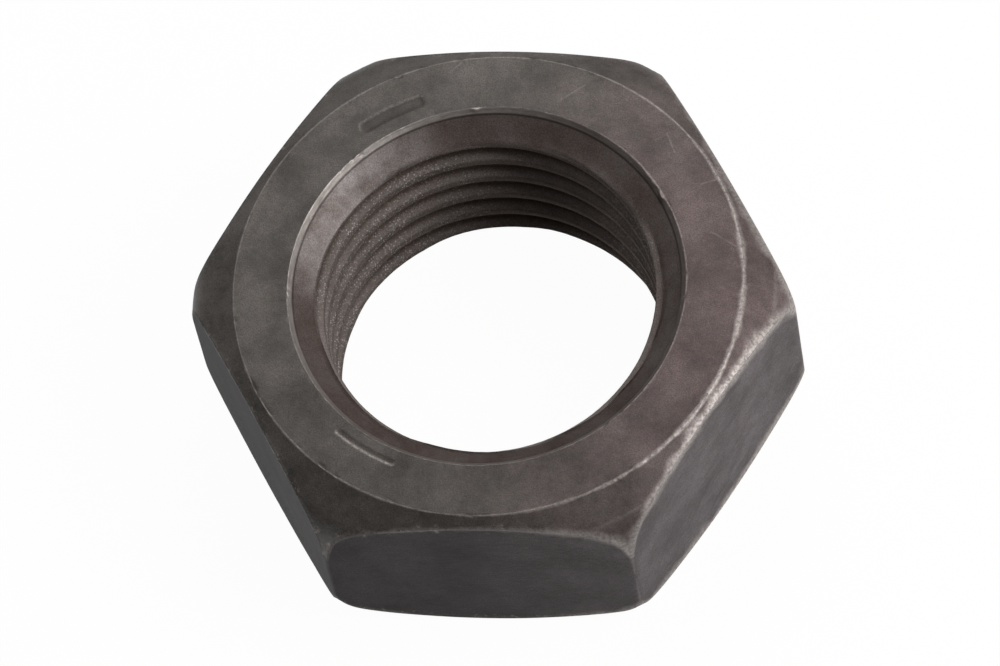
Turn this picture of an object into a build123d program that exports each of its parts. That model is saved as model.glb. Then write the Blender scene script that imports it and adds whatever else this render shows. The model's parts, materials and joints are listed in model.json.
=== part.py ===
"""Large hexagon nut: one forged, turned and tapped piece of steel, M56 x 5.5 in an 80 mm hexagon.

Millimetres. The origin lies on the thread axis in the lower bearing face, +Z runs along the
thread to the marked upper face, and two of the six wrench flats face -Y and +Y.
"""
import math
import os

from build123d import *

# Hexagonal blank
across_flats = 80.0
thickness = 34.0
corner_radius = 1.2           # forging radius on the six upright corners

# Turned faces: a flat bearing circle, a shallow chamfer, then a steeper facet at each corner
bearing_inset = 1.6           # from the middle of a flat in to the bearing circle
chamfer_angle = 31.0          # from the bearing face
facet_inset = 2.09            # from a sharp corner in to where the chamfer meets the facet
facet_angle = 60.0            # from the bearing face

# ISO metric thread, right-hand
thread_diameter = 56.0
thread_pitch = 5.5
flank_angle = 30.0            # half of the 60 degrees between two flanks
thread_start_angle = 73.0     # direction in which the groove's middle is one pitch below the origin
runout_turns = 1.0            # turns of groove cut past each face
crest_allowance = 0.33        # radial, opens the bore past the basic profile, within tolerance 6H

# Mouth of the bore, the same at both faces: a narrow lip, then a wide countersink
mouth_margin = 2.0            # radial, from the thread's root out to the mouth's edge
lip_width = 0.75              # radial
lip_angle = 48.0              # from the bearing face
countersink_angle = 33.0      # from the bearing face

# Grade marks on the upper face: one bold and one faint punched dash, each on an arc about the axis
dash_depth = 0.35
bold_dash_margin = 3.2        # radial, from the mouth's edge out to the dash's middle line
bold_dash_middle = 118.6      # direction from +X
bold_dash_length = 11.6
bold_dash_width = 1.8
faint_dash_margin = 2.1
faint_dash_middle = 238.7
faint_dash_length = 10.4
faint_dash_width = 0.7

# The ISO profile cuts its sharp triangle off by an eighth at the root and a quarter at the crest
triangle_height = thread_pitch / 2 / math.tan(math.radians(flank_angle))
root_radius = thread_diameter / 2
crest_radius = root_radius - 5 / 8 * triangle_height + crest_allowance
root_width = thread_pitch / 8

# The groove's section reaches a little into the bore, so that its cut leaves no skin at the crests
section_reach = 0.6
section_radius = crest_radius - section_reach
section_width = root_width + 2 * (root_radius - section_radius) * math.tan(math.radians(flank_angle))

# Radii of the turned outline, and its drops from the bearing face down
bearing_radius = across_flats / 2 - bearing_inset
corner_reach = across_flats / math.sqrt(3)
facet_radius = corner_reach - facet_inset
chamfer_drop = (facet_radius - bearing_radius) * math.tan(math.radians(chamfer_angle))
facet_drop = facet_inset * math.tan(math.radians(facet_angle))

# The mouth's edge, and the foot of its lip
mouth_radius = root_radius + mouth_margin
lip_radius = mouth_radius - lip_width
lip_drop = lip_width * math.tan(math.radians(lip_angle))
cutter_reach = 1.0            # how far the bore's and the mouths' cutters run past what they cut


def outside_points(face_height, inwards):
    """Turned outline beside one bearing face, from the bearing circle to the hexagon's corner."""
    return [
        (bearing_radius, face_height),
        (facet_radius, face_height + inwards * chamfer_drop),
        (corner_reach, face_height + inwards * (chamfer_drop + facet_drop)),
    ]


def mouth_points(face_height, inwards):
    """Section of the cutter that turns one mouth: the countersink and the lip, run on past both ends."""
    tip_radius = crest_radius - cutter_reach
    tip_drop = lip_drop + (lip_radius - tip_radius) * math.tan(math.radians(countersink_angle))
    return [
        (0, face_height - inwards * cutter_reach),
        (mouth_radius, face_height - inwards * cutter_reach),
        (mouth_radius, face_height),
        (lip_radius, face_height + inwards * lip_drop),
        (tip_radius, face_height + inwards * tip_drop),
        (0, face_height + inwards * tip_drop),
    ]


# The groove's middle line, and the plane through the axis in which it starts
groove_line = Helix(
    thread_pitch,
    thickness + 2 * runout_turns * thread_pitch,
    root_radius,
    center=(0, 0, -runout_turns * thread_pitch),
).rotate(Axis.Z, thread_start_angle)
groove_plane = Plane.XZ.rotated((0, 0, thread_start_angle))

# Middle lines of the two dashes: arcs centred on the axis
bold_dash_radius = mouth_radius + bold_dash_margin
faint_dash_radius = mouth_radius + faint_dash_margin
bold_dash_span = math.degrees(bold_dash_length / bold_dash_radius)
bold_dash_start = bold_dash_middle - bold_dash_span / 2
bold_dash_line = CenterArc((0, 0), bold_dash_radius, bold_dash_start, bold_dash_span)
faint_dash_span = math.degrees(faint_dash_length / faint_dash_radius)
faint_dash_start = faint_dash_middle - faint_dash_span / 2
faint_dash_line = CenterArc((0, 0), faint_dash_radius, faint_dash_start, faint_dash_span)

os.makedirs("parts", exist_ok=True)

with BuildPart() as hex_nut:
    # Forged hexagonal blank with slightly rounded upright corners
    with BuildSketch(Plane.XY):
        RegularPolygon(radius=across_flats / 2, side_count=6, major_radius=False)
        fillet(vertices(), radius=corner_radius)
    extrude(amount=thickness)

    # Both faces turned: only what lies inside the revolved outline stays
    with BuildSketch(Plane.XZ):
        with BuildLine():
            Polyline(
                (0, 0),
                *outside_points(0, 1),
                *reversed(outside_points(thickness, -1)),
                (0, thickness),
                close=True,
            )
        make_face()
    revolve(axis=Axis.Z, mode=Mode.INTERSECT)

    # Thread groove, cut before the bore because its helix would graze the bore's wall
    with BuildSketch(groove_plane):
        with BuildLine():
            Polyline(
                (section_radius, -runout_turns * thread_pitch - section_width / 2),
                (root_radius, -runout_turns * thread_pitch - root_width / 2),
                (root_radius, -runout_turns * thread_pitch + root_width / 2),
                (section_radius, -runout_turns * thread_pitch + section_width / 2),
                close=True,
            )
        make_face()
    sweep(path=groove_line, is_frenet=True, mode=Mode.SUBTRACT)

    # Bore to the crests of the thread
    with BuildSketch(Plane.XY.offset(-cutter_reach)):
        Circle(crest_radius)
    extrude(amount=thickness + 2 * cutter_reach, mode=Mode.SUBTRACT)

    # Countersink and lip at both mouths
    with BuildSketch(Plane.XZ):
        for face_height, inwards in ((0, 1), (thickness, -1)):
            with BuildLine():
                Polyline(*mouth_points(face_height, inwards), close=True)
            make_face()
    revolve(axis=Axis.Z, mode=Mode.SUBTRACT)

    # Grade dashes punched into the upper face
    with BuildSketch(Plane.XY.offset(thickness)):
        SlotArc(bold_dash_line, bold_dash_width)
        SlotArc(faint_dash_line, faint_dash_width)
    extrude(amount=-dash_depth, mode=Mode.SUBTRACT)

hex_nut.part.label = "hex_nut"
export_step(hex_nut.part, "parts/hex_nut.step")
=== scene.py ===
"""Looks of the large hexagon nut: its worn, dark oxide skin on true turned, forged and threaded shapes.

The nut is a set of Geometry Nodes sheets, rolled round the axis row by row and joined. Lengths in the
tree and in the material are millimetres; the tree's last step turns them to metres, as in the scene.
"""
import json
import math
from types import SimpleNamespace

import bpy
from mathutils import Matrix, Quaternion, Vector


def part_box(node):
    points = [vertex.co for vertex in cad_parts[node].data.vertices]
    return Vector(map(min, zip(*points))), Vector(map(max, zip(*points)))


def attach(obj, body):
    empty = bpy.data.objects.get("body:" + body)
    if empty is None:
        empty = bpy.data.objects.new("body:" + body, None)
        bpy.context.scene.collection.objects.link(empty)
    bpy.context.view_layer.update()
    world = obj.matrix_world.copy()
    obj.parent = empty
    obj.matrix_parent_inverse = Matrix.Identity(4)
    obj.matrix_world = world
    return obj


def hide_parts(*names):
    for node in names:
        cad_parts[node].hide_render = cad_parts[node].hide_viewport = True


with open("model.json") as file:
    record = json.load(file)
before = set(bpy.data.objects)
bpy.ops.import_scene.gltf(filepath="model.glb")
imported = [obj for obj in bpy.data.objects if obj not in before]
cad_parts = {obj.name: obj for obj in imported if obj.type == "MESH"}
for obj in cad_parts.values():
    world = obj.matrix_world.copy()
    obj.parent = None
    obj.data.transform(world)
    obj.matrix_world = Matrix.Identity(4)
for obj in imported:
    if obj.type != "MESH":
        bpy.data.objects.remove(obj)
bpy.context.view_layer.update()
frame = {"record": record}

MM = 1000.0                      # millimetres in a metre
low_corner, high_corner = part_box("hex_nut")

# Overall sizes come from the frame; the nut stands on its lower face with two flats facing -Y and +Y
across_flats = (high_corner.y - low_corner.y) * MM
thickness = (high_corner.z - low_corner.z) * MM
bored_radius = next(m for m in frame["record"]["mounts"] if m["name"] == "thread")["dims"]["r_mm"]
crest_rise = 0.25                # how far the crests stand inside the frame's bore
crest_radius = bored_radius - crest_rise

# Thread: ISO metric, right-hand
thread_pitch = 5.5
flank_slope = math.tan(math.radians(30.0))
root_radius = 28.0
root_width = thread_pitch / 8
crest_width = thread_pitch / 4
crest_bevel = 0.12               # rounding along the crests' edges
crest_blend = 0.2                # how softly the flanks run into the crests
thread_start = math.radians(73.0)
# The countersink's tool pressed the groove's ends shut: depths below a face where it opens, and is full
groove_opens, groove_is_full = 2.0, 3.6

# Mouth of the bore: a narrow lip, then the countersink
mouth_radius = root_radius + 2.0
lip_width = 0.75
lip_slope = math.tan(math.radians(48.0))
lip_foot = mouth_radius - lip_width
countersink_slope = math.tan(math.radians(33.0))

# Turned faces: bearing circle, chamfer, corner facets. The lathe held the blank a little off centre
sharp_corner = across_flats / math.sqrt(3)
bearing_radius = across_flats / 2 - 1.6
facet_radius = sharp_corner - 3.2
facet_limit = 0.97               # a facet starts no further out than this share of the way to the wall
chamfer_slope = math.tan(math.radians(31.0))
corner_bend = 0.18               # fall of the corner facets per mm squared, and per mm to the sixth
corner_fall = 0.0055
lower_share = 0.3                # share of that fall at the lower face, where the die filled the corners
turning_centre = (0.26, 0.165, 0.0)
# The upright corners are rounded by a smooth minimum, which takes off a sixth of its reach. The reach
# brings them in to the frame's size, and a hair further
corner_softness = 6 * (sharp_corner - high_corner.x * MM) + 0.01

# Punched dashes on the upper face; middle is the direction of a dash's middle in degrees from +X
dashes = [
    {"middle": 119.0, "radius": mouth_radius + 3.1, "length": 10.9, "width": 2.0, "depth": 0.2},
    {"middle": 238.7, "radius": mouth_radius + 2.1, "length": 10.4, "width": 0.8, "depth": 0.12},
]
# Scratches on the upper face, from one point to another
scratches = [
    ((-7.5, 35.9), (-5.8, 37.7)),
    ((9.5, 31.2), (13.2, 33.8)),
    ((26.0, 25.6), (27.3, 22.4)),
    ((31.5, 17.0), (36.2, 18.6)),
    ((33.4, 9.0), (37.6, 6.4)),
]
# Rolled-over burrs on the upper mouth's edge: middle direction and half the spread in degrees, and how
# far they would reach towards the axis if the grain of the steel were full there
burrs = [
    (37.0, 6.0, 0.45),
    (30.2, 2.4, 1.1),
    (96.0, 2.0, 0.6),
]

# Columns round the axis and rows across each surface
columns = 600
corner_gather = 0.7              # how strongly the columns crowd towards the six corners
upper_rows = (38, 11, 8)         # bearing face, chamfer, corner facets
lower_rows = (4, 4, 5)
flat_rows = 16
upper_mouth_rows = (4, 3)        # lip, countersink
lower_mouth_rows = (2, 2)
rows_per_pitch = 12
thread_reach = 1.5               # depth below each face at which the thread's rows take over
weld = 0.002                     # points of neighbouring sheets nearer than this are one

# Directions round the axis, in radians from +X, that the skin's tones and its painted light and shade follow
directions = {
    "hard": -0.15,               # faces the key lamp: painted lighter and ruddier there, and worn most, as by spanners
    "far": 2.6,                  # a painted highlight on the countersink; here the lip is brightest and the dust thickest
    "inner": 1.75,               # where dust has settled in the bore, and a painted shade line darkens the lip's foot
    "front": -1.7,               # painted darker there, as shade, most of all on the chamfer
}

# Tones of the skin, some of them painted shade or painted highlight
turned_dark, turned_dark_ruddy = "#44403c", "#4b3f3d"
turned_pale, turned_pale_ruddy = "#66605c", "#6f605e"
scale_dark, scale_pale = "#3d3838", "#575253"
sink_dark, sink_satin_highlight = "#4b3e39", "#8f8987"
flank_dusty, flank_painted_shade, crest_tone = "#756c68", "#51453e", "#5f5651"
punched_floor_painted_shade, punched_inner_wall_painted_shade, punched_outer_wall_painted_highlight = "#2c2725", "#35251f", "#a59d98"
bare_steel, lip_foot_painted_shade, dust_grain = "#b2aaa5", "#2a2320", "#cac4c0"

# Studio, in metres and watts
world_grey = 0.03
paper_reach, paper_rise = 4.0, 0.4
paper_glow = 0.97                # share of plain white in the paper where it is seen or mirrored
lamps = [
    # name, place, side of the soft box, power
    ("right", (0.849, 0.0, 0.849), 0.6, 8.4),
    ("back", (0.0, 0.287, 0.41), 0.3, 1.05),
    ("left", (-0.849, 0.0, 0.849), 0.6, 1.3),
    ("front", (0.375, -0.2165, 0.25), 0.3, 0.4),
]

MATH = "ShaderNodeMath"
VECTOR = "ShaderNodeVectorMath"
MIX = "ShaderNodeMix"
RANGE = "ShaderNodeMapRange"
NOISE = "ShaderNodeTexNoise"
XYZ = "ShaderNodeSeparateXYZ"
JOIN_XYZ = "ShaderNodeCombineXYZ"


def add(tree, kind, *inputs, out=0, **settings):
    """Adds one node with its settings, feeds its inputs in order with values or links, returns an output."""
    node = tree.nodes.new(kind)
    for name, value in settings.items():
        setattr(node, name, value)
    for socket, value in zip([s for s in node.inputs if s.enabled], inputs):
        if isinstance(value, bpy.types.NodeSocket):
            tree.links.new(value, socket)
        elif value is not None:
            socket.default_value = value
    outputs = [s for s in node.outputs if s.enabled]
    return outputs[out] if outputs else node


def linear(hex_colour):
    """An sRGB hex colour as linear RGBA."""
    parts = [int(hex_colour[i:i + 2], 16) / 255 for i in (1, 3, 5)]
    return (*[c / 12.92 if c <= 0.04045 else ((c + 0.055) / 1.055) ** 2.4 for c in parts], 1.0)


def dash_distance(tree, place, dash):
    """Distance in the bearing face from a dash's edge, negative inside it; the dash follows its circle."""
    back_turn = -math.radians(dash["middle"])
    turned = add(tree, "ShaderNodeVectorRotate", place, None, back_turn, rotation_type="Z_AXIS")
    parts = add(tree, XYZ, turned).node.outputs
    angle = add(tree, MATH, parts["Y"], parts["X"], operation="ARCTAN2")
    along = add(tree, MATH, angle, dash["radius"], operation="MULTIPLY")
    along = add(tree, MATH, along, operation="ABSOLUTE")
    past_end = add(tree, MATH, along, (dash["width"] - dash["length"]) / 2, operation="ADD")
    past_end = add(tree, MATH, past_end, 0.0, operation="MAXIMUM")
    level = add(tree, VECTOR, turned, (1.0, 1.0, 0.0), operation="MULTIPLY")
    aside = add(tree, MATH, add(tree, VECTOR, level, operation="LENGTH"), -dash["radius"], operation="ADD")
    from_spine = add(tree, VECTOR, add(tree, JOIN_XYZ, past_end, aside, 0.0), operation="LENGTH")
    return add(tree, MATH, from_spine, -dash["width"] / 2, operation="ADD")


# ---------------------------------------------------------------- shape of the nut

def sheet(tree, nut, rows, crowd):
    """A flat sheet to be rolled: its mesh, each point's turn round the axis and its share of the rows.

    Rows crowd towards both ends of the sheet, where the edges need a crisp, slightly rounded turn."""
    mesh = add(tree, "GeometryNodeMeshGrid", 1.0, 1.0, nut["Columns"], rows + 1)
    place = add(tree, "GeometryNodeInputPosition")
    turn = add(tree, MATH, add(tree, XYZ, place), 0.5, operation="ADD")
    along = add(tree, MATH, add(tree, XYZ, place, out=1), 0.5, operation="ADD")
    wave = add(tree, MATH, add(tree, MATH, along, math.tau, operation="MULTIPLY"), operation="SINE")
    share = add(tree, MATH, wave, -crowd / math.tau, along, operation="MULTIPLY_ADD")
    return mesh, turn, share


def hexagon_radius(tree, nut, angle):
    """Distance from the axis to the hexagon's wall in a direction, with softened corners."""
    half = add(tree, MATH, nut["Across flats"], 0.5, operation="MULTIPLY")
    from_corner = add(tree, MATH, angle, math.pi / 6, operation="PINGPONG")
    walls = []
    for side in (-1.0, 1.0):
        lean = add(tree, MATH, from_corner, side, math.pi / 6, operation="MULTIPLY_ADD")
        walls.append(add(tree, MATH, half, add(tree, MATH, lean, operation="COSINE"), operation="DIVIDE"))
    return add(tree, MATH, walls[0], walls[1], nut["Corner softness"], operation="SMOOTH_MIN")


def turned_drop(tree, nut, past_bearing, corner_share=1.0):
    """How far the turned outline has fallen below the bearing face, that far outside the bearing circle.

    The chamfer is straight; beyond it the forging never filled its corners, and they fall away in a
    curve. corner_share is how much of that curve there is. The sizes are sockets or plain numbers."""
    chamfer = add(tree, MATH, past_bearing, nut["Chamfer slope"], operation="MULTIPLY")
    to_curve = add(tree, MATH, nut["Facet radius"], nut["Bearing radius"], operation="SUBTRACT")
    past_curve = add(tree, MATH, past_bearing, to_curve, operation="SUBTRACT")
    past_curve = add(tree, MATH, past_curve, 0.0, operation="MAXIMUM")
    square = add(tree, MATH, past_curve, 2.0, operation="POWER")
    sixth = add(tree, MATH, square, 3.0, operation="POWER")
    sixth = add(tree, MATH, sixth, corner_fall, operation="MULTIPLY")
    fall = add(tree, MATH, square, corner_bend, sixth, operation="MULTIPLY_ADD")
    fall = add(tree, MATH, fall, corner_share, operation="MULTIPLY")
    return add(tree, MATH, add(tree, MATH, chamfer, fall, operation="ADD"), 0.0, operation="MAXIMUM")


def outline(tree, nut, turn, gather):
    """Direction of each column, and the radii of mouth, bearing circle, facet and wall there.

    gather is how far the columns crowd towards the corners, from 0 to 1."""
    even = add(tree, MATH, turn, math.tau, operation="MULTIPLY")
    wave = add(tree, MATH, add(tree, MATH, even, 6.0, operation="MULTIPLY"), operation="SINE")
    pull = add(tree, MATH, gather, -corner_gather / 6, operation="MULTIPLY")
    angle = add(tree, MATH, wave, pull, even, operation="MULTIPLY_ADD")
    cosine = add(tree, MATH, angle, operation="COSINE")
    sine = add(tree, MATH, angle, operation="SINE")
    direction = add(tree, JOIN_XYZ, cosine, sine, 0.0)
    shift = add(tree, VECTOR, direction, nut["Turning centre"], operation="DOT_PRODUCT")
    bearing = add(tree, MATH, nut["Bearing radius"], shift, operation="ADD")
    edge = hexagon_radius(tree, nut, angle)
    facet = add(tree, MATH, nut["Facet radius"], shift, operation="ADD")
    nearly_edge = add(tree, MIX, facet_limit, bearing, edge, data_type="FLOAT")
    facet = add(tree, MATH, facet, nearly_edge, operation="MINIMUM")
    return direction, {"mouth": nut["Mouth radius"], "bearing": bearing, "facet": facet, "edge": edge}


def turned_face(tree, nut, corner_share, rows):
    """One bearing face with its chamfer and corner facets, as separate sheets in the upper face's place."""
    sheets = []
    face_rows, chamfer_rows, facet_rows = rows
    for inner, outer, sheet_rows, crowd, gather_in, gather_out in (
        ("mouth", "bearing", face_rows, 0.5, 0.0, 0.5),
        ("bearing", "facet", chamfer_rows, 0.6, 0.5, 1.0),
        ("facet", "edge", facet_rows, 0.4, 1.0, 1.0),
    ):
        mesh, turn, share = sheet(tree, nut, sheet_rows, crowd)
        gather = add(tree, MIX, share, gather_in, gather_out, data_type="FLOAT")
        direction, radii = outline(tree, nut, turn, gather)
        radius = add(tree, MIX, share, radii[inner], radii[outer], data_type="FLOAT", clamp_factor=False)
        past_bearing = add(tree, MATH, radius, radii["bearing"], operation="SUBTRACT")
        drop = turned_drop(tree, nut, past_bearing, corner_share)
        height = add(tree, MATH, nut["Thickness"], drop, operation="SUBTRACT")
        level = add(tree, JOIN_XYZ, 0.0, 0.0, height)
        place = add(tree, VECTOR, direction, radius, level, operation="MULTIPLY_ADD")
        sheets.append(add(tree, "GeometryNodeSetPosition", mesh, None, place))
    return sheets


def wrench_flats(tree, nut, rows):
    """The six upright sides, from the upper turned edge to the lower one."""
    mesh, turn, share = sheet(tree, nut, rows, 0.75)
    direction, radii = outline(tree, nut, turn, 1.0)
    past_bearing = add(tree, MATH, radii["edge"], radii["bearing"], operation="SUBTRACT")
    lower = turned_drop(tree, nut, past_bearing, lower_share)
    upper = add(tree, MATH, nut["Thickness"], turned_drop(tree, nut, past_bearing), operation="SUBTRACT")
    height = add(tree, MIX, share, upper, lower, data_type="FLOAT", clamp_factor=False)
    level = add(tree, JOIN_XYZ, 0.0, 0.0, height)
    place = add(tree, VECTOR, direction, radii["edge"], level, operation="MULTIPLY_ADD")
    return add(tree, "GeometryNodeSetPosition", mesh, None, place)


def groove_radius(tree, nut, turn, height):
    """Radius of the thread groove's wall at a point, less than the crests' where the ridge is."""
    middle = add(tree, MATH, turn, -thread_start / math.tau - 1.0, operation="ADD")
    rise = add(tree, MATH, middle, nut["Thread pitch"], operation="MULTIPLY")
    offset = add(tree, MATH, height, rise, operation="SUBTRACT")
    half_pitch = add(tree, MATH, nut["Thread pitch"], 0.5, operation="MULTIPLY")
    from_middle = add(tree, MATH, offset, half_pitch, operation="PINGPONG")
    past_root = add(tree, MATH, from_middle, -root_width / 2, operation="ADD")
    past_root = add(tree, MATH, past_root, 0.0, operation="MAXIMUM")
    return add(tree, MATH, past_root, -1 / flank_slope, nut["Root radius"], operation="MULTIPLY_ADD")


def bore_radius(tree, nut, turn, height):
    """Radius of the bore at a point: lip, countersink, and between them the thread's ridge and groove."""
    below_top = add(tree, MATH, nut["Thickness"], height, operation="SUBTRACT")
    depth = add(tree, MATH, below_top, height, operation="MINIMUM")
    lip = add(tree, MATH, depth, -1 / lip_slope, nut["Mouth radius"], operation="MULTIPLY_ADD")
    past_lip = lip_width * (lip_slope / countersink_slope - 1)
    cone_start = add(tree, MATH, nut["Mouth radius"], past_lip, operation="ADD")
    cone = add(tree, MATH, depth, -1 / countersink_slope, cone_start, operation="MULTIPLY_ADD")
    turned = add(tree, MATH, lip, cone, operation="MINIMUM")
    bored = add(tree, MATH, turned, nut["Crest radius"], operation="MAXIMUM")
    groove = groove_radius(tree, nut, turn, height)
    open_share = add(tree, RANGE, depth, groove_opens, groove_is_full, 0.0, 1.0)
    groove = add(tree, MIX, open_share, nut["Crest radius"], groove, data_type="FLOAT")
    return add(tree, MATH, bored, groove, crest_blend, operation="SMOOTH_MAX")


def bore_sheet(tree, nut, mesh, turn, height):
    """Rolls a sheet to the bore at the given heights."""
    angle = add(tree, MATH, turn, math.tau, operation="MULTIPLY")
    cosine = add(tree, MATH, angle, operation="COSINE")
    sine = add(tree, MATH, angle, operation="SINE")
    direction = add(tree, JOIN_XYZ, cosine, sine, 0.0)
    level = add(tree, JOIN_XYZ, 0.0, 0.0, height)
    radius = bore_radius(tree, nut, turn, height)
    place = add(tree, VECTOR, direction, radius, level, operation="MULTIPLY_ADD")
    return add(tree, "GeometryNodeSetPosition", mesh, None, place)


def mouth(tree, nut, upper, rows):
    """Lip and countersink of one mouth, down to where the thread's rows take over."""
    sheets = []
    lip_drop = lip_width * lip_slope
    lip_rows, cone_rows = rows
    for start, end, sheet_rows in ((0.0, lip_drop, lip_rows), (lip_drop, thread_reach, cone_rows)):
        mesh, turn, share = sheet(tree, nut, sheet_rows, 0.5)
        if upper:
            height = add(tree, MATH, nut["Thickness"], -start, operation="ADD")
            height = add(tree, MATH, share, start - end, height, operation="MULTIPLY_ADD")
        else:
            height = add(tree, MATH, share, start - end, end, operation="MULTIPLY_ADD")
        sheets.append(bore_sheet(tree, nut, mesh, turn, height))
    return sheets


def thread(tree, nut):
    """The threaded bore: rows climb with the helix and are gathered at the edges of crest and root."""
    turns = math.ceil((thickness - 2 * thread_reach) / thread_pitch) + 2
    mesh, turn, share = sheet(tree, nut, turns * rows_per_pitch, 0.0)
    step = add(tree, MATH, share, -float(turns), operation="MULTIPLY")
    rounding_guard = 1e-4
    whole = add(tree, MATH, add(tree, MATH, step, rounding_guard, operation="ADD"), operation="FLOOR")
    part = add(tree, MATH, step, whole, operation="SUBTRACT")
    # Within a pitch the rows stand, from the groove's middle, at the root's edge, along the flank,
    # close on both sides of the crest's edge and at the crest's middle; then the same in reverse
    edge = (thread_pitch - crest_width) / 2 / thread_pitch
    bevel = crest_bevel / thread_pitch
    row = 1 / rows_per_pitch
    stops = [
        (0.0, 0.0),
        (row, root_width / 2 / thread_pitch),
        (4 * row, edge - bevel),
        (5 * row, edge + bevel),
    ]
    stops += [(0.5, 0.5)] + [(1 - x, 1 - y) for x, y in reversed(stops)]
    spread = tree.nodes.new("ShaderNodeFloatCurve")
    curve = spread.mapping.curves[0]
    while len(curve.points) < len(stops):
        curve.points.new(0.5, 0.5)
    for point, (x, y) in zip(curve.points, stops):
        point.location = (x, y)
        point.handle_type = "VECTOR"
    spread.mapping.update()
    tree.links.new(part, spread.inputs["Value"])
    placed = add(tree, MATH, whole, spread.outputs["Value"], operation="ADD")
    climb = add(tree, MATH, placed, turn, operation="ADD")
    # The rows start above the upper reach, in step with the groove
    start = thread_start / math.tau
    start_turns = math.ceil((thickness - thread_reach) / thread_pitch + start) - start
    climb = add(tree, MATH, climb, start_turns, operation="ADD")
    height = add(tree, MATH, climb, nut["Thread pitch"], operation="MULTIPLY")
    top = add(tree, MATH, nut["Thickness"], -thread_reach, operation="ADD")
    height = add(tree, MATH, height, top, operation="MINIMUM")
    height = add(tree, MATH, height, thread_reach, operation="MAXIMUM")
    return bore_sheet(tree, nut, mesh, turn, height)


def marks(tree, nut, shape):
    """Punched dashes, knocks, burrs and the slight unevenness of forged and turned steel."""
    place = add(tree, "GeometryNodeInputPosition")
    normal = add(tree, "GeometryNodeInputNormal")
    parts = add(tree, XYZ, place).node.outputs
    level = add(tree, VECTOR, place, (1.0, 1.0, 0.0), operation="MULTIPLY")
    radius = add(tree, VECTOR, level, operation="LENGTH")

    # Forged waves over a few millimetres, and a rougher skin on the tapped flanks
    waves = add(tree, NOISE, place, 0.13, 2.0, 0.5)
    depth = add(tree, MATH, waves, 0.07, operation="MULTIPLY")
    grain = add(tree, NOISE, place, 0.9, 2.0, 0.6)
    in_bore = add(tree, RANGE, radius, mouth_radius - 1.5, mouth_radius - 3.5, 0.0, 1.0)
    grain_depth = add(tree, MIX, in_bore, 0.0, 0.07, data_type="FLOAT")
    depth = add(tree, MATH, grain, grain_depth, depth, operation="MULTIPLY_ADD")

    # Knocks along the edge of the upper bearing face and along the upper mouth:
    # distance from the edge, full width, scale of the pattern per mm, greatest depth
    upper_end = add(tree, RANGE, parts["Z"], 2.0, 4.0, 0.0, 1.0)
    centred = add(tree, VECTOR, place, nut["Turning centre"], operation="SUBTRACT")
    centred = add(tree, VECTOR, centred, (1.0, 1.0, 0.0), operation="MULTIPLY")
    centred = add(tree, VECTOR, centred, operation="LENGTH")
    from_ring = add(tree, MATH, centred, -bearing_radius, operation="ADD")
    from_mouth = add(tree, MATH, radius, -mouth_radius, operation="ADD")
    for distance, width, scale, strength in ((from_ring, 0.7, 0.55, 0.55), (from_mouth, 0.5, 0.8, 0.45)):
        near = add(tree, MATH, distance, operation="ABSOLUTE")
        near = add(tree, RANGE, near, 0.0, width, 1.0, 0.0, interpolation_type="SMOOTHSTEP")
        knock = add(tree, NOISE, place, scale, 3.0, 0.7)
        knock = add(tree, RANGE, knock, 0.56, 0.8, 0.0, strength)
        knock = add(tree, MATH, knock, upper_end, operation="MULTIPLY")
        depth = add(tree, MATH, knock, near, depth, operation="MULTIPLY_ADD")

    # Dashes, only on the upper face
    on_top = add(tree, RANGE, parts["Z"], thickness - 0.6, thickness - 0.4, 0.0, 1.0)
    for dash in dashes:
        deep = add(tree, MATH, on_top, dash["depth"], operation="MULTIPLY")
        from_dash = dash_distance(tree, place, dash)
        inside = add(tree, RANGE, from_dash, 0.15, -0.45, 0.0, 1.0, interpolation_type="SMOOTHSTEP")
        depth = add(tree, MATH, inside, deep, depth, operation="MULTIPLY_ADD")
    inwards = add(tree, MATH, depth, -1.0, operation="MULTIPLY")
    shift = add(tree, VECTOR, normal, inwards, operation="SCALE")

    # Burrs push the upper mouth's edge towards the axis
    angle = add(tree, MATH, parts["Y"], parts["X"], operation="ARCTAN2")
    below = add(tree, MATH, thickness, parts["Z"], operation="SUBTRACT")
    at_edge = add(tree, VECTOR, add(tree, JOIN_XYZ, from_mouth, below, 0.0), operation="LENGTH")
    at_edge = add(tree, RANGE, at_edge, 0.1, 1.0, 1.0, 0.0, interpolation_type="SMOOTHSTEP")
    towards_axis = add(tree, VECTOR, place, (-1.0, -1.0, 0.0), operation="MULTIPLY")
    towards_axis = add(tree, VECTOR, towards_axis, operation="NORMALIZE")
    for middle, spread, burr_reach in burrs:
        aside = add(tree, MATH, angle, -math.radians(middle), operation="ADD")
        aside = add(tree, MATH, aside, operation="ABSOLUTE")
        edge = math.radians(spread)
        lifted = add(tree, RANGE, aside, 0.0, edge, burr_reach, 0.0, interpolation_type="SMOOTHSTEP")
        lifted = add(tree, MATH, lifted, at_edge, operation="MULTIPLY")
        lifted = add(tree, MATH, lifted, grain, operation="MULTIPLY")
        shift = add(tree, VECTOR, towards_axis, lifted, shift, operation="MULTIPLY_ADD")
    return add(tree, "GeometryNodeSetPosition", shape, None, None, shift)


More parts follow.
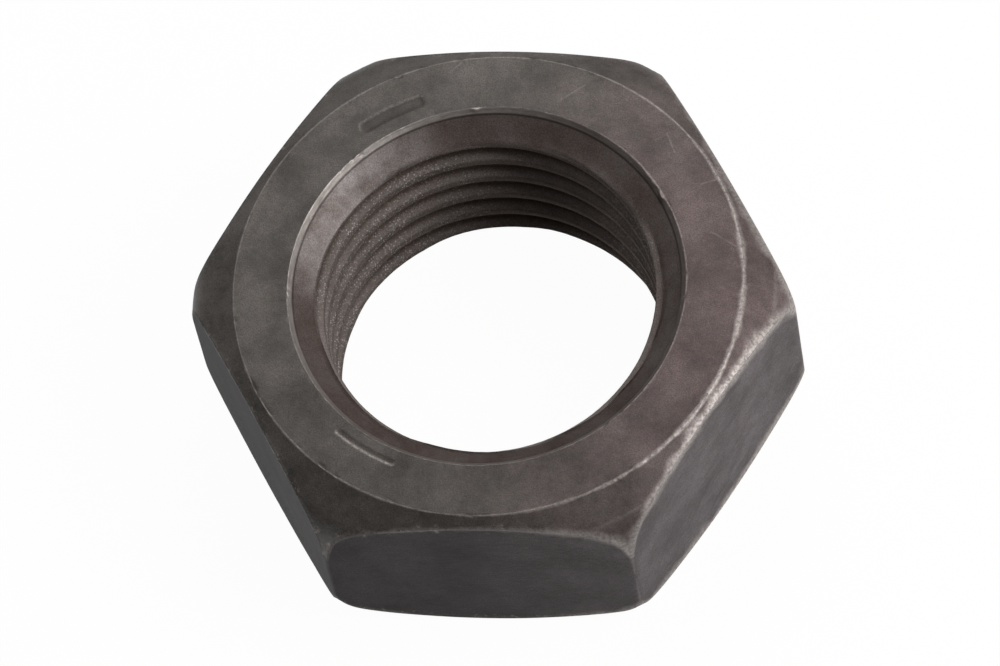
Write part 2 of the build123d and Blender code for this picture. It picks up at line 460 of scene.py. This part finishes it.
def make_nut(material):
    """The whole nut as one closed mesh in the frame's place."""
    tree = bpy.data.node_groups.new("Hexagon nut", "GeometryNodeTree")
    sizes = {
        "Across flats": across_flats,
        "Thickness": thickness,
        "Corner softness": corner_softness,
        "Bearing radius": bearing_radius,
        "Facet radius": facet_radius,
        "Chamfer slope": chamfer_slope,
        "Mouth radius": mouth_radius,
        "Crest radius": crest_radius,
        "Root radius": root_radius,
        "Thread pitch": thread_pitch,
        "Turning centre": turning_centre,
        "Columns": columns + 1,
    }
    kinds = {float: "NodeSocketFloat", int: "NodeSocketInt", tuple: "NodeSocketVector"}
    sockets = {}
    for name, value in sizes.items():
        sockets[name] = tree.interface.new_socket(name=name, in_out="INPUT", socket_type=kinds[type(value)])
    tree.interface.new_socket(name="Nut", in_out="OUTPUT", socket_type="NodeSocketGeometry")
    inputs = tree.nodes.new("NodeGroupInput")
    nut = {name: inputs.outputs[name] for name in sizes}

    # The lower face is made as an upper one and mirrored, which also turns its sheets to face outwards
    parts = {
        "outside": [*turned_face(tree, nut, 1.0, upper_rows), wrench_flats(tree, nut, flat_rows)],
        "lower": turned_face(tree, nut, lower_share, lower_rows),
        "inside": [
            *mouth(tree, nut, True, upper_mouth_rows),
            thread(tree, nut),
            *mouth(tree, nut, False, lower_mouth_rows),
        ],
    }
    joined = {}
    for name, sheets in parts.items():
        joined[name] = add(tree, "GeometryNodeJoinGeometry")
        for one in sheets:
            tree.links.new(one, joined[name].node.inputs[0])
    joined["outside"] = add(tree, "GeometryNodeFlipFaces", joined["outside"])
    lift = add(tree, JOIN_XYZ, 0.0, 0.0, nut["Thickness"])
    mirrored, upright = (1.0, 1.0, -1.0), (0.0, 0.0, 0.0)
    joined["lower"] = add(tree, "GeometryNodeTransform", joined["lower"], lift, upright, mirrored)

    shape = add(tree, "GeometryNodeJoinGeometry")
    for one in joined.values():
        tree.links.new(one, shape.node.inputs[0])
    shape = add(tree, "GeometryNodeMergeByDistance", shape, None, weld)
    shape = marks(tree, nut, shape)
    shape = add(tree, "GeometryNodeSetShadeSmooth", shape, None, True)
    shape = add(tree, "GeometryNodeTransform", shape, None, None, (1 / MM, 1 / MM, 1 / MM))
    shape = add(tree, "GeometryNodeRealizeInstances", shape)
    shape = add(tree, "GeometryNodeSetMaterial", shape, None, material)
    add(tree, "NodeGroupOutput", shape)

    holder = bpy.data.objects.new("holder", bpy.data.meshes.new("holder"))
    bpy.context.scene.collection.objects.link(holder)
    modifier = holder.modifiers.new("Nut", "NODES")
    modifier.node_group = tree
    for name, value in sizes.items():
        modifier[sockets[name].identifier] = value
    evaluated = holder.evaluated_get(bpy.context.evaluated_depsgraph_get())
    mesh = bpy.data.meshes.new_from_object(evaluated)
    bpy.data.objects.remove(holder)
    mesh.name = "nut_body"
    body = bpy.data.objects.new("nut_body", mesh)
    bpy.context.scene.collection.objects.link(body)
    return body


# ---------------------------------------------------------------- skin

def lie_of_surface(tree):
    """Where a point of the skin lies: its place, the surface it is part of, how far the edges are.

    All lengths are millimetres in the part's frame."""
    at = SimpleNamespace()
    metres = add(tree, "ShaderNodeTexCoord").node.outputs["Object"]
    at.place = add(tree, VECTOR, metres, MM, operation="SCALE")
    x, y, at.height = add(tree, XYZ, at.place).node.outputs
    at.level = add(tree, VECTOR, at.place, (1.0, 1.0, 0.0), operation="MULTIPLY")
    at.radius = add(tree, VECTOR, at.level, operation="LENGTH")
    # The surface unrolled round the axis: radius, arc length, height
    arc = add(tree, MATH, add(tree, MATH, y, x, operation="ARCTAN2"), bearing_radius, operation="MULTIPLY")
    at.unrolled = add(tree, JOIN_XYZ, at.radius, arc, at.height)

    # How far outside the bearing circle, and how far from the nearer face
    off_centre = add(tree, VECTOR, at.level, turning_centre, operation="SUBTRACT")
    off_centre = add(tree, VECTOR, off_centre, operation="LENGTH")
    at.past_ring = add(tree, MATH, off_centre, -bearing_radius, operation="ADD")
    from_top = add(tree, MATH, thickness, at.height, operation="SUBTRACT")
    from_face = add(tree, MATH, from_top, at.height, operation="MINIMUM")
    at.upper_face = add(tree, MATH, at.height, thickness - 0.5, operation="GREATER_THAN")

    # The three distances across the hexagon; the largest is this side's, the second the next side's
    across = []
    for side in (30, 90, 150):
        towards = (math.cos(math.radians(side)), math.sin(math.radians(side)), 0.0)
        distance = add(tree, VECTOR, at.level, towards, operation="DOT_PRODUCT")
        across.append(add(tree, MATH, distance, operation="ABSOLUTE"))
    ends = {}
    for name in ("MAXIMUM", "MINIMUM", "ADD"):
        ends[name] = add(tree, MATH, across[0], across[1], operation=name)
        ends[name] = add(tree, MATH, ends[name], across[2], operation=name)
    largest = ends["MAXIMUM"]
    second = add(tree, MATH, ends["ADD"], largest, operation="SUBTRACT")
    second = add(tree, MATH, second, ends["MINIMUM"], operation="SUBTRACT")
    at.on_flat = add(tree, RANGE, largest, across_flats / 2 - 0.35, across_flats / 2 - 0.15, 0.0, 1.0)

    # Distances from the edges that wear. The turned edge is where the flats meet chamfer and facets
    sizes = {"Bearing radius": bearing_radius, "Facet radius": facet_radius, "Chamfer slope": chamfer_slope}
    corner_share = add(tree, RANGE, at.height, thickness / 2 - 1.0, thickness / 2 + 1.0, lower_share, 1.0)
    drop = turned_drop(tree, sizes, at.past_ring, corner_share)
    below_edge = add(tree, MATH, from_face, drop, operation="SUBTRACT")
    below_edge = add(tree, MATH, below_edge, 0.7, operation="MULTIPLY")
    short_of_flat = add(tree, MATH, across_flats / 2, largest, operation="SUBTRACT")
    short_of_flat = add(tree, MATH, short_of_flat, 1.3, operation="MULTIPLY")
    at.from_turned_edge = add(tree, MATH, below_edge, short_of_flat, operation="MAXIMUM")
    at.from_corner = add(tree, MATH, across_flats / 2, second, operation="SUBTRACT")
    at.from_ring = add(tree, MATH, at.past_ring, operation="ABSOLUTE")
    from_facet = add(tree, MATH, at.past_ring, bearing_radius - facet_radius, operation="ADD")
    from_facet = add(tree, MATH, from_facet, operation="ABSOLUTE")
    at.from_facet = add(tree, MATH, from_facet, at.on_flat, operation="ADD")
    from_mouth = add(tree, MATH, at.radius, -mouth_radius, operation="ADD")
    at.from_mouth = add(tree, MATH, from_mouth, operation="ABSOLUTE")

    # Countersink, and below its cone the thread with its crests, flanks and deep groove
    at.in_sink = add(tree, RANGE, at.radius, mouth_radius + 0.02, mouth_radius - 0.1, 0.0, 1.0)
    cone_top = lip_width * lip_slope + lip_foot * countersink_slope
    cone_depth = add(tree, MATH, at.radius, -countersink_slope, cone_top, operation="MULTIPLY_ADD")
    below_cone = add(tree, MATH, from_face, cone_depth, operation="SUBTRACT")
    in_thread = add(tree, RANGE, below_cone, 0.05, 0.3, 0.0, 1.0)
    at.in_thread = add(tree, MATH, in_thread, at.in_sink, operation="MULTIPLY")
    at.on_flank = add(tree, RANGE, at.radius, crest_radius + 0.1, crest_radius + 0.3, 0.0, 1.0)
    at.in_groove = add(tree, RANGE, at.radius, crest_radius + 0.7, crest_radius + 1.6, 0.0, 1.0,
                       interpolation_type="SMOOTHSTEP")
    return at


def sides_of_nut(tree, at):
    """How nearly a point faces each named direction round the axis: 1 straight towards it, -1 away."""
    outwards = add(tree, VECTOR, at.level, operation="NORMALIZE")
    facing = {}
    for name, angle in directions.items():
        towards = (math.cos(angle), math.sin(angle), 0.0)
        facing[name] = add(tree, VECTOR, outwards, towards, operation="DOT_PRODUCT")
    return SimpleNamespace(**facing)


def patterns_of_wear(tree, at):
    """The irregular patterns that the tones and the wear are drawn with."""
    patterns = {}
    for name, per_mm, detail, roughness in (
        ("clouds", 0.12, 4.0, 0.62),     # broad clouds of rubbed oxide
        ("patches", 0.2, 2.0, 0.6),      # where wear and dust come and go
        ("mottle", 0.8, 5.0, 0.7),       # fine mottle in the oxide
        ("ragged", 2.2, 3.0, 0.7),       # the torn edge of worn steel
        ("tooth", 2.4, 4.0, 0.7),        # the skin's own fine grain
        ("dust", 5.0, 2.0, 0.8),
    ):
        patterns[name] = add(tree, NOISE, at.place, per_mm, detail, roughness)
    streaked = add(tree, VECTOR, at.unrolled, (2.6, 0.3, 2.6), operation="MULTIPLY")
    patterns["streaks"] = add(tree, NOISE, streaked, 1.0, 4.0, 0.65)     # round the axis, as a tool leaves
    return SimpleNamespace(**patterns)


def turned_tone(tree, at, facing, pattern):
    """Bearing face and chamfer: dark and rubbed tones of one oxide, ruddier towards the key lamp as painted
    warm light, and darker in front as painted shade.
    """
    rubbed = add(tree, MATH, pattern.mottle, 0.5, pattern.clouds, operation="MULTIPLY_ADD")
    rubbed = add(tree, RANGE, rubbed, 0.55, 0.98, 0.0, 1.0)
    # Painted warm light: the tint turns ruddier towards the key lamp, over random reddish patches
    ruddy_and_warm_light = add(tree, MATH, pattern.patches, 0.8, facing.hard, operation="MULTIPLY_ADD")
    ruddy_and_warm_light = add(tree, RANGE, ruddy_and_warm_light, 0.4, 1.4, 0.0, 1.0)
    dark = add(tree, MIX, ruddy_and_warm_light, linear(turned_dark), linear(turned_dark_ruddy), data_type="RGBA")
    pale = add(tree, MIX, ruddy_and_warm_light, linear(turned_pale), linear(turned_pale_ruddy), data_type="RGBA")
    tone = add(tree, MIX, rubbed, dark, pale, data_type="RGBA")
    # Painted shade: the front is darkened, most of all on the chamfer
    in_front = add(tree, RANGE, facing.front, 0.2, 0.95, 0.0, 1.0)
    on_chamfer = add(tree, RANGE, at.past_ring, -0.1, 0.1, 0.0, 1.0)
    front_painted_shade = add(tree, MIX, on_chamfer, 0.85, 0.7, data_type="FLOAT")
    return add(tree, VECTOR, tone, add(tree, MIX, in_front, 1.0, front_painted_shade, data_type="FLOAT"), operation="SCALE")


def flat_tone(tree, facing, pattern):
    """Forged flats: a cooler scale, drawn out along each side, painted lighter towards the key lamp and
    painted darker, as shade, on the side away from it.
    """
    drawn = add(tree, MATH, pattern.clouds, 1.6, pattern.streaks, operation="MULTIPLY_ADD")
    drawn = add(tree, RANGE, drawn, 0.9, 1.7, 0.0, 1.0)
    tone = add(tree, MIX, drawn, linear(scale_dark), linear(scale_pale), data_type="RGBA")
    # Painted light: paler towards the key lamp; painted shade: darker away from it
    tone = add(tree, VECTOR, tone, add(tree, RANGE, facing.hard, 0.1, 0.95, 0.74, 1.7), operation="SCALE")
    return add(tree, VECTOR, tone, add(tree, RANGE, facing.hard, -0.8, -0.1, 0.6, 1.0), operation="SCALE")


def sink_tone(tree, facing, pattern):
    """Countersink: cut last, so its oxide is thinner and satiny in random patches, with a painted highlight
    on the far side and towards the key lamp.
    """
    satin_and_highlight = add(tree, MATH, pattern.mottle, 0.35, pattern.clouds, operation="MULTIPLY_ADD")
    satin_and_highlight = add(tree, RANGE, satin_and_highlight, 0.45, 0.95, 0.0, 1.0)
    # Painted highlight: the pale tone is strongest on the far side and towards the key lamp
    far_highlight = add(tree, RANGE, facing.far, 0.75, 1.0, 0.3, 1.0)
    lit_side_highlight = add(tree, RANGE, facing.hard, 0.5, 1.0, 0.0, 0.45)
    highlight_spread = add(tree, MATH, far_highlight, lit_side_highlight, operation="MAXIMUM")
    satin_and_highlight = add(tree, MATH, satin_and_highlight, highlight_spread, operation="MULTIPLY")
    return add(tree, MIX, satin_and_highlight, linear(sink_dark), linear(sink_satin_highlight), data_type="RGBA")


def thread_tone(tree, at, facing, pattern):
    """Tapped thread: painted shade deep in the groove, dusty up the flanks, smooth on the crests, painted
    lighter towards the key lamp.
    """
    # Painted shade: darker the deeper into the groove
    flank = add(tree, MIX, at.in_groove, linear(flank_dusty), linear(flank_painted_shade), data_type="RGBA")
    tone = add(tree, MIX, at.on_flank, linear(crest_tone), flank, data_type="RGBA")
    tone = add(tree, VECTOR, tone, add(tree, RANGE, pattern.clouds, 0.3, 0.7, 0.85, 1.15), operation="SCALE")
    # Painted light: lighter on the side towards the key lamp
    return add(tree, VECTOR, tone, add(tree, RANGE, facing.hard, 0.1, 0.7, 1.0, 1.45), operation="SCALE")


def with_dashes(tree, at, pattern, colour):
    """Dashes: painted shade in the punched floor, darkest along the inner wall, and a painted highlight along
    the outer one.
    """
    for dash in dashes:
        radius, width = dash["radius"], dash["width"]
        from_dash = dash_distance(tree, at.place, dash)
        inside = add(tree, RANGE, from_dash, 0.25, -0.5, 0.0, 0.35)
        inside = add(tree, MATH, inside, at.upper_face, operation="MULTIPLY")
        colour = add(tree, MIX, inside, colour, linear(punched_floor_painted_shade), data_type="RGBA")
        outer = add(tree, RANGE, at.radius, radius - width / 2, radius + width / 2, 0.0, 1.0)
        wall = add(tree, MIX, outer, linear(punched_inner_wall_painted_shade), linear(punched_outer_wall_painted_highlight), data_type="RGBA")
        at_wall = add(tree, MATH, from_dash, operation="ABSOLUTE")
        at_wall = add(tree, RANGE, at_wall, 0.05, 0.35, 1.0, 0.0)
        # the painted highlight on the outer wall: the narrower the punch, the sharper and the brighter
        for share in (
            add(tree, RANGE, outer, 0.5, 1.0, 0.35, 1.1 - 0.4 * width),
            at.upper_face,
            add(tree, RANGE, pattern.ragged, 0.35, 0.6, 0.2, 1.0),
        ):
            at_wall = add(tree, MATH, at_wall, share, operation="MULTIPLY")
        colour = add(tree, MIX, at_wall, colour, wall, data_type="RGBA")
    return colour


def bare_share(tree, at, facing, pattern):
    """How far the oxide is worn through to bare steel, from 0 to 1."""
    # Along the edges: distance, full width in mm, strength on the easy and on the lit side
    worn = 0.0
    hardness = add(tree, RANGE, facing.hard, 0.3, 0.95, 0.0, 1.0)
    for distance, width, easy, hard in (
        (at.from_ring, 0.9, 0.42, 0.75),
        (at.from_turned_edge, 2.8, 0.25, 0.85),
        (at.from_corner, 0.9, 0.25, 0.35),
        (at.from_facet, 0.9, 0.0, 0.2),
        (at.from_mouth, 0.45, 0.5, 0.4),
    ):
        reach = add(tree, RANGE, pattern.patches, 0.3, 0.7, 0.3 * width, 1.1 * width)
        reach = add(tree, MATH, reach, add(tree, RANGE, hardness, 0.0, 1.0, 0.35, 1.0), operation="MULTIPLY")
        share = add(tree, MATH, distance, reach, operation="DIVIDE")
        share = add(tree, RANGE, share, 0.0, 1.0, 1.0, 0.0, interpolation_type="SMOOTHSTEP")
        torn = add(tree, RANGE, pattern.ragged, 0.3, 0.65, 0.25, 1.3)
        share = add(tree, MATH, share, torn, operation="MULTIPLY")
        share = add(tree, MATH, share, 1.0, operation="MINIMUM")
        strength = add(tree, MIX, hardness, easy, hard, data_type="FLOAT")
        share = add(tree, MATH, share, strength, operation="MULTIPLY")
        worn = add(tree, MATH, share, worn, operation="MAXIMUM")

    # Chips along the turned edge, all round
    chips = add(tree, RANGE, add(tree, NOISE, at.place, 0.7, 3.0, 0.7), 0.56, 0.66, 0.0, 0.5)
    near_edge = add(tree, RANGE, at.from_turned_edge, 0.0, 1.3, 1.0, 0.0)
    chips = add(tree, MATH, chips, near_edge, operation="MULTIPLY")
    worn = add(tree, MATH, chips, worn, operation="MAXIMUM")

    # The lip of the mouth is worn bare all round; it is brightest on the far side, partly as a painted
    # highlight
    on_lip = add(tree, RANGE, at.radius, lip_foot, lip_foot + 0.15, 0.0, 1.0)
    in_mouth = add(tree, MATH, at.radius, mouth_radius, operation="LESS_THAN")
    for share in (
        in_mouth,
        add(tree, RANGE, pattern.streaks, 0.35, 0.65, 0.45, 1.0),
        add(tree, RANGE, facing.far, 0.1, 0.55, 0.35, 1.0),
    ):
        on_lip = add(tree, MATH, on_lip, share, operation="MULTIPLY")
    worn = add(tree, MATH, on_lip, worn, operation="MAXIMUM")

    # Scratches on the upper face
    for start, end in scratches:
        run = (end[0] - start[0], end[1] - start[1], 0.0)
        from_start = add(tree, VECTOR, at.level, (*start, 0.0), operation="SUBTRACT")
        along = add(tree, VECTOR, from_start, run, operation="DOT_PRODUCT")
        along = add(tree, MATH, along, 1 / (run[0] ** 2 + run[1] ** 2), operation="MULTIPLY", use_clamp=True)
        nearest = add(tree, VECTOR, run, along, operation="SCALE")
        aside = add(tree, VECTOR, from_start, nearest, operation="DISTANCE")
        scratch = add(tree, RANGE, aside, 0.03, 0.2, 0.16, 0.0)
        for share in (at.upper_face, add(tree, RANGE, pattern.ragged, 0.35, 0.6, 0.2, 1.2)):
            scratch = add(tree, MATH, scratch, share, operation="MULTIPLY")
        worn = add(tree, MATH, scratch, worn, operation="MAXIMUM")
    return worn


def with_dust_and_shade(tree, at, facing, pattern, colour):
    """A painted shade line at the lip's foot, and pale grains of dust and swarf caught on the tapped flanks.
    """
    in_bore = add(tree, RANGE, facing.inner, -0.35, 0.15, 0.0, 1.0)
    # Painted shade: a dark line in the crease at the lip's foot, on the far side of the bore
    foot = add(tree, MATH, add(tree, MATH, at.radius, -lip_foot, operation="ADD"), operation="ABSOLUTE")
    foot = add(tree, MATH, add(tree, RANGE, foot, 0.05, 0.2, 0.7, 0.0), in_bore, operation="MULTIPLY")
    colour = add(tree, MIX, foot, colour, linear(lip_foot_painted_shade), data_type="RGBA")

    cells = add(tree, "ShaderNodeTexVoronoi", at.place, 3.4).node.outputs
    grain = add(tree, RANGE, cells["Distance"], 0.15, 0.55, 1.0, 0.0)
    on_far = add(tree, RANGE, facing.far, 0.5, 0.95, 0.25, 1.0)
    on_hard = add(tree, RANGE, facing.hard, 0.3, 0.6, 0.0, 1.0)
    thinly_in_sink = add(tree, MATH, at.in_sink, 0.3, operation="MULTIPLY")
    for share in (
        add(tree, RANGE, add(tree, XYZ, cells["Color"]), 0.35, 0.95, 0.0, 1.0),
        add(tree, RANGE, pattern.patches, 0.35, 0.6, 0.35, 1.0),
        add(tree, MATH, on_far, on_hard, operation="MAXIMUM"),
        add(tree, RANGE, at.in_groove, 0.0, 1.0, 1.0, 0.2),
        in_bore,
        add(tree, RANGE, at.on_flank, 0.0, 1.0, 0.9, 1.0),
        add(tree, MATH, at.in_thread, thinly_in_sink, operation="MAXIMUM"),
    ):
        grain = add(tree, MATH, grain, share, operation="MULTIPLY")
    return add(tree, MIX, grain, colour, linear(dust_grain), data_type="RGBA")


def oxide_skin():
    """Steel under a thin, dull black oxide: rubbed grey where the lathe and other parts have worn it.

    The oxide is dark, nearly without colour and only partly metallic to the eye. The forged flats keep a
    cooler scale, the tapped bore a brown one, and every outward edge shows brighter bare steel."""
    material = bpy.data.materials.new("blackened_steel")
    material.use_nodes = True
    tree = material.node_tree
    skin = next(node for node in tree.nodes if node.type == "BSDF_PRINCIPLED")
    at = lie_of_surface(tree)
    facing = sides_of_nut(tree, at)
    pattern = patterns_of_wear(tree, at)

    # Besides the real tones, painted light and shade: lighter and ruddier towards the key lamp, darker in
    # front, shade deep in the groove, at the lip's foot and in the dashes, highlights in the countersink and
    # on the dashes' outer walls
    colour = turned_tone(tree, at, facing, pattern)
    colour = add(tree, MIX, at.on_flat, colour, flat_tone(tree, facing, pattern), data_type="RGBA")
    colour = add(tree, MIX, at.in_sink, colour, sink_tone(tree, facing, pattern), data_type="RGBA")
    colour = add(tree, MIX, at.in_thread, colour, thread_tone(tree, at, facing, pattern), data_type="RGBA")
    colour = with_dashes(tree, at, pattern, colour)
    dusty = add(tree, RANGE, pattern.dust, 0.35, 0.65, 0.7, 1.3)
    colour = add(tree, VECTOR, colour, dusty, operation="SCALE")
    worn = bare_share(tree, at, facing, pattern)
    colour = add(tree, MIX, worn, colour, linear(bare_steel), data_type="RGBA")
    colour = with_dust_and_shade(tree, at, facing, pattern, colour)
    tree.links.new(colour, skin.inputs["Base Color"])

    # The forged scale and the thread are dullest, the countersink is the most metallic of the oxides,
    # and worn steel is brightest
    finishes = {
        "Metallic": (0.3, ((at.on_flat, 0.1), (at.in_sink, 0.4), (at.in_thread, 0.05), (worn, 0.8))),
        "Roughness": (
            add(tree, MIX, pattern.mottle, 0.42, 0.62, data_type="FLOAT"),
            ((at.on_flat, 0.66), (at.in_sink, 0.45), (at.in_thread, 0.75), (worn, 0.42)),
        ),
        "Specular IOR Level": (0.35, ((at.on_flat, 0.12), (at.in_thread, 0.06))),
    }
    for name, (value, places) in finishes.items():
        for share, there in places:
            value = add(tree, MIX, share, value, there, data_type="FLOAT")
        tree.links.new(value, skin.inputs[name])

    # The skin's own tooth: a fine grain everywhere, 0.08 mm deep
    bump = add(tree, "ShaderNodeBump", 0.5, 0.08 / MM, None, pattern.tooth)
    tree.links.new(bump, skin.inputs["Normal"])
    return material


# ---------------------------------------------------------------- studio

def place_camera():
    """Long lens, high in front, rolled a little."""
    azimuth, elevation, roll = math.radians(14.32), math.radians(62.97), math.radians(-12.43)
    aim = Vector((0.00114, -0.00253, 0.0226))
    distance = 1.182
    back = Vector((
        math.sin(azimuth) * math.cos(elevation),
        -math.cos(azimuth) * math.cos(elevation),
        math.sin(elevation),
    ))
    data = bpy.data.cameras.new("camera")
    data.lens = 282.3
    data.sensor_width = 36.0
    camera = bpy.data.objects.new("camera", data)
    camera.location = aim + back * distance
    camera.rotation_mode = "QUATERNION"
    camera.rotation_quaternion = back.to_track_quat("Z", "Y") @ Quaternion((0, 0, 1), roll)
    bpy.context.scene.collection.objects.link(camera)
    bpy.context.scene.camera = camera


def place_lamp(name, place, size, power):
    """A square soft box facing the nut."""
    data = bpy.data.lights.new(name, "AREA")
    data.size = size
    data.energy = power
    box = bpy.data.objects.new(name, data)
    box.location = place
    box.rotation_mode = "QUATERNION"
    box.rotation_quaternion = Vector(place).to_track_quat("Z", "Y")
    bpy.context.scene.collection.objects.link(box)


def white_paper():
    """Matt paper, seen and mirrored as white; a share of its own shading stays, and with it the shadow."""
    paper = bpy.data.materials.new("white_paper")
    paper.use_nodes = True
    tree = paper.node_tree
    tree.nodes.clear()
    ray = add(tree, "ShaderNodeLightPath").node.outputs
    straight = add(tree, MATH, ray["Is Camera Ray"], ray["Is Glossy Ray"], operation="MAXIMUM")
    straight = add(tree, MATH, straight, ray["Is Transmission Ray"], operation="MAXIMUM")
    share = add(tree, MATH, straight, paper_glow, operation="MULTIPLY")
    shaded_white = add(tree, "ShaderNodeBsdfDiffuse", linear("#ffffff"))
    plain_white = add(tree, "ShaderNodeEmission", linear("#ffffff"), 1.0)
    add(tree, "ShaderNodeOutputMaterial", add(tree, "ShaderNodeMixShader", share, shaded_white, plain_white))
    return paper


def studio():
    """A white paper floor under a plain grey world and a few soft boxes."""
    world = bpy.data.worlds.new("studio")
    bpy.context.scene.world = world
    world.use_nodes = True
    grey = (world_grey, world_grey, world_grey, 1.0)
    world.node_tree.nodes["Background"].inputs["Color"].default_value = grey

    # The paper lies flat and is turned up far off, so that no view from above meets its edge
    reach = paper_reach
    plan = [(-reach, -reach), (reach, -reach), (reach, reach), (-reach, reach)]
    corners = [(x, y, height) for height in (0.0, paper_rise) for x, y in plan]
    walls = [(k, k + 4, (k + 1) % 4 + 4, (k + 1) % 4) for k in range(4)]
    floor_mesh = bpy.data.meshes.new("floor")
    floor_mesh.from_pydata(corners, [], [(0, 1, 2, 3)] + walls)
    floor_mesh.materials.append(white_paper())
    floor = bpy.data.objects.new("floor", floor_mesh)
    bpy.context.scene.collection.objects.link(floor)
    for name, place, size, power in lamps:
        place_lamp(name, place, size, power)


bpy.context.scene.view_settings.view_transform = "Standard"
skin = oxide_skin()
nut_body = make_nut(skin)
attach(nut_body, "root")
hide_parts("hex_nut")
place_camera()
studio()
